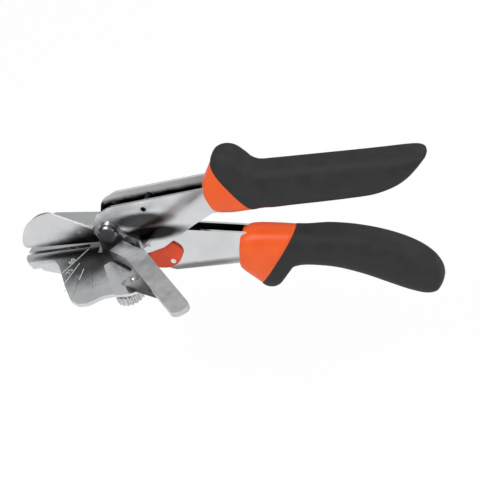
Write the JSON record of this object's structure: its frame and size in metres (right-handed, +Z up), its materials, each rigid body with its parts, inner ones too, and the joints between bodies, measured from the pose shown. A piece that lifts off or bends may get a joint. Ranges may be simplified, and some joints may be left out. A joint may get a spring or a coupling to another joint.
{
  "type": "mitre shears",
  "caption": "Hand-held mitre shears with a slotted work table, angle scale, swivelling fence, ground blade, crossing sheet-steel arms, latch and two-colour grips.",
  "frame": {"origin": "centre of the angle scale on the work table's upper face, in the middle of the blade slot", "axes": "+X towards the handles, +Y away from the fence, +Z up with the shears standing on the keel under the table and the lower grip's hook"},
  "size_m": [0.2378, 0.115, 0.0955],
  "materials": {
    "polished_steel": "bright polished sheet",
    "ground_steel": "fine ground",
    "plain_steel": "zinc plated",
    "table_chrome": "satin chrome with engraved lines",
    "leaf_steel": "smooth",
    "cast_alloy": "tumbled casting",
    "orange_grip": "smooth dip coat",
    "black_grip": "matte fine grain",
    "latch_paint": "smooth"
  },
  "bodies": {
    "table_arm": {"upper_arm": "polished_steel", "work_table": "table_chrome", "pivot_screw": "plain_steel", "pivot_nut": "plain_steel", "pivot_washers": "plain_steel", "ear_rivets": "plain_steel", "upper_grip_collar": "orange_grip", "upper_grip_sleeve": "black_grip", "catch_stud": "plain_steel", "spring_pin": "plain_steel"},
    "blade_arm": {"lower_arm": "polished_steel", "blade": "ground_steel", "blade_carrier": "polished_steel", "blade_spacer": "plain_steel", "blade_screws": "plain_steel", "carrier_rivet": "plain_steel", "lower_grip_collar": "orange_grip", "lower_grip_sleeve": "black_grip", "latch_pin": "plain_steel", "spring_seat": "plain_steel", "return_spring": "plain_steel"},
    "fence": {"fence_casting": "cast_alloy", "fence_leaf": "leaf_steel", "fence_pin": "plain_steel", "fence_rivet": "plain_steel", "fence_washer": "plain_steel", "fence_nut": "cast_alloy"},
    "latch": {"latch": "latch_paint"}
  },
  "joints": [
    {"name": "main_pivot", "type": "hinge", "parent": "table_arm", "child": "blade_arm", "pos_m": [0.01352, 0, 0.01608], "axis": [0, 1, 0], "range_deg": [-3.3, 26], "deforming": ["return_spring"]},
    {"name": "fence_swivel", "type": "hinge", "parent": "table_arm", "child": "fence", "pos_m": [0.03036, -0.04, 0.00629], "axis": [-0.2028, 0, 0.9792], "range_deg": [-4, 60]},
    {"name": "latch_hinge", "type": "hinge", "parent": "blade_arm", "child": "latch", "pos_m": [0.04719, 0, -0.00401], "axis": [0, 1, 0], "range_deg": [-8, 14]}
  ]
}
